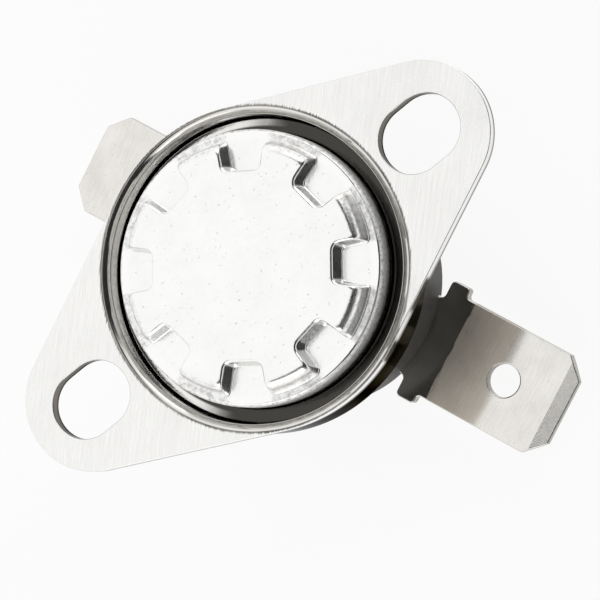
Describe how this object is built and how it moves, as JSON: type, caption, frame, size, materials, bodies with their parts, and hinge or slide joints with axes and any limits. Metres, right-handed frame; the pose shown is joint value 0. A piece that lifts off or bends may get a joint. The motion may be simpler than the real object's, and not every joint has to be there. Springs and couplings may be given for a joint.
{
  "type": "bimetal thermostat",
  "caption": "Round snap-disc bimetal thermostat: notched aluminium sensing cap, loose slotted mounting flange that swivels, moulded base and flat quick-connect tabs.",
  "frame": {"origin": "under the middle of the cap, on the surface that the base's barrier rib stands on", "axes": "+Z along the cap's axis out of the sensing face, +X along the flange through its two slots"},
  "size_m": [0.032, 0.0316, 0.016],
  "materials": {
    "flange_steel": "brushed, bright",
    "cap_aluminium": "satin, pressed",
    "bimetal": "rolled",
    "guide_phenolic": "moulded, matte",
    "pin_ceramic": "fired, matte",
    "base_phenolic": "moulded, matte",
    "arm_bronze": "rolled",
    "contact_silver": "polished",
    "plate_brass": "stamped",
    "tab_plating": "plated, satin",
    "rivet_plating": "plated"
  },
  "bodies": {
    "housing": {"base": "base_phenolic", "sensing_cap": "cap_aluminium", "bimetal_disc": "bimetal", "guide_plate": "guide_phenolic", "contact_arm": "arm_bronze", "fixed_contact": "contact_silver", "contact_plate": "plate_brass", "arm_terminal": "tab_plating", "plate_terminal": "tab_plating", "arm_rivet": "rivet_plating", "plate_rivet": "rivet_plating"},
    "flange": {"mounting_flange": "flange_steel"},
    "pin": {"push_pin": "pin_ceramic"},
    "contact": {"moving_contact": "contact_silver"}
  },
  "joints": [
    {"name": "flange_swivel", "type": "hinge", "parent": "housing", "child": "flange", "pos_m": [0, 0, 0.0137], "axis": [0, 0, 1], "continuous": true},
    {"name": "pin_slide", "type": "slide", "parent": "housing", "child": "pin", "axis": [0, 0, -1], "range_m": [0, 0.0005], "stiffness_N_per_m": 400, "springref_m": -0.0005, "deforming": ["bimetal_disc", "contact_arm"]},
    {"name": "contact_swing", "type": "hinge", "parent": "housing", "child": "contact", "pos_m": [0.00152, -0.00326, 0.00758], "axis": [-0.9063, -0.4226, 0], "range_deg": [0, 8], "deforming": ["contact_arm"]}
  ],
  "couplings": [
    {"joint": "contact_swing", "follows": "pin_slide", "rad_per_m": 277.78}
  ]
}
